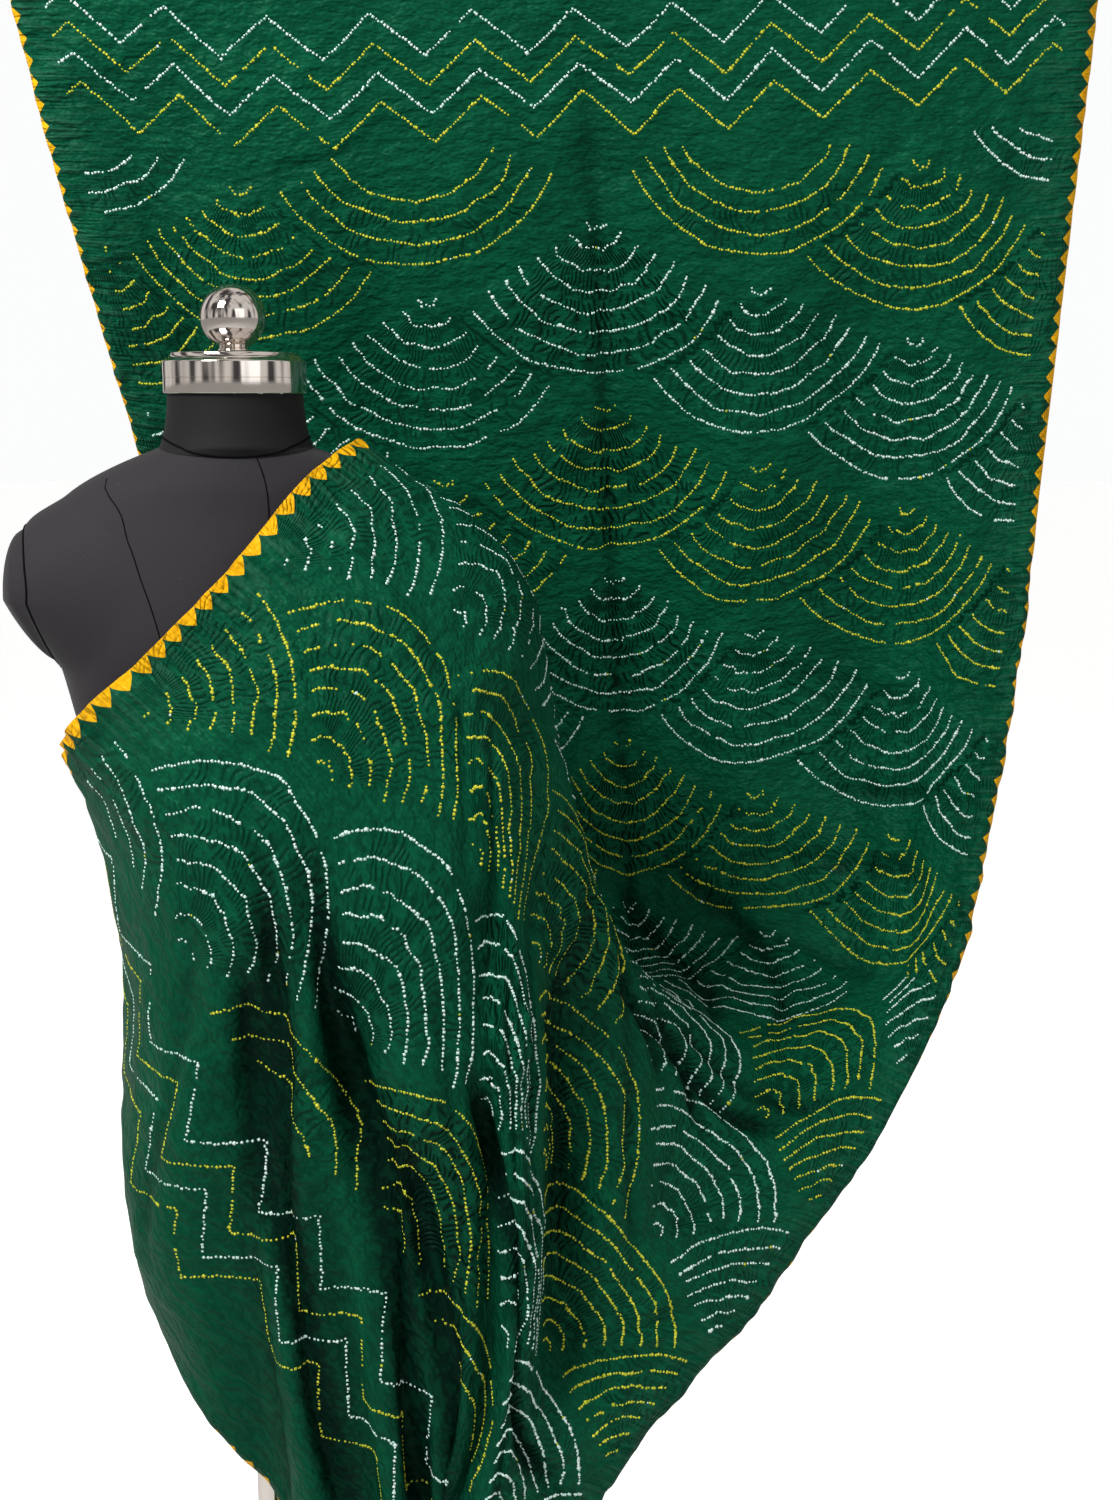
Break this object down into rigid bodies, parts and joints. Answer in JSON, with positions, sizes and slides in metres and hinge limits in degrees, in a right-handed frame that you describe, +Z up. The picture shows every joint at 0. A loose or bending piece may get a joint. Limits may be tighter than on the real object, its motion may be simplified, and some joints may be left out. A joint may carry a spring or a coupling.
{
  "type": "bandhani cloth draped on a dress form",
  "caption": "Long tie-dyed silk cloth with dotted fans and zigzags, hung as a back panel and draped over the shoulder of a dress form on a stand.",
  "frame": {"origin": "middle of the stand base's underside, on the floor", "axes": "+Z up, +X to the side on which the cloth hangs off the form's shoulder, -Y towards the form's front"},
  "size_m": [1.014, 0.5473, 1.9241],
  "materials": {
    "silk": "bottle green silk, tie-dyed with dotted fans and zigzags in white and yellow",
    "jersey": "matt charcoal jersey stretched over the form",
    "chrome": "polished",
    "base_paint": "satin black"
  },
  "bodies": {
    "root": {"cloth": "silk", "form_torso": "jersey", "form_neck": "jersey", "neck_cap": "chrome", "ball_finial": "chrome", "stand_pole": "chrome", "stand_base": "base_paint"}
  },
  "joints": []
}
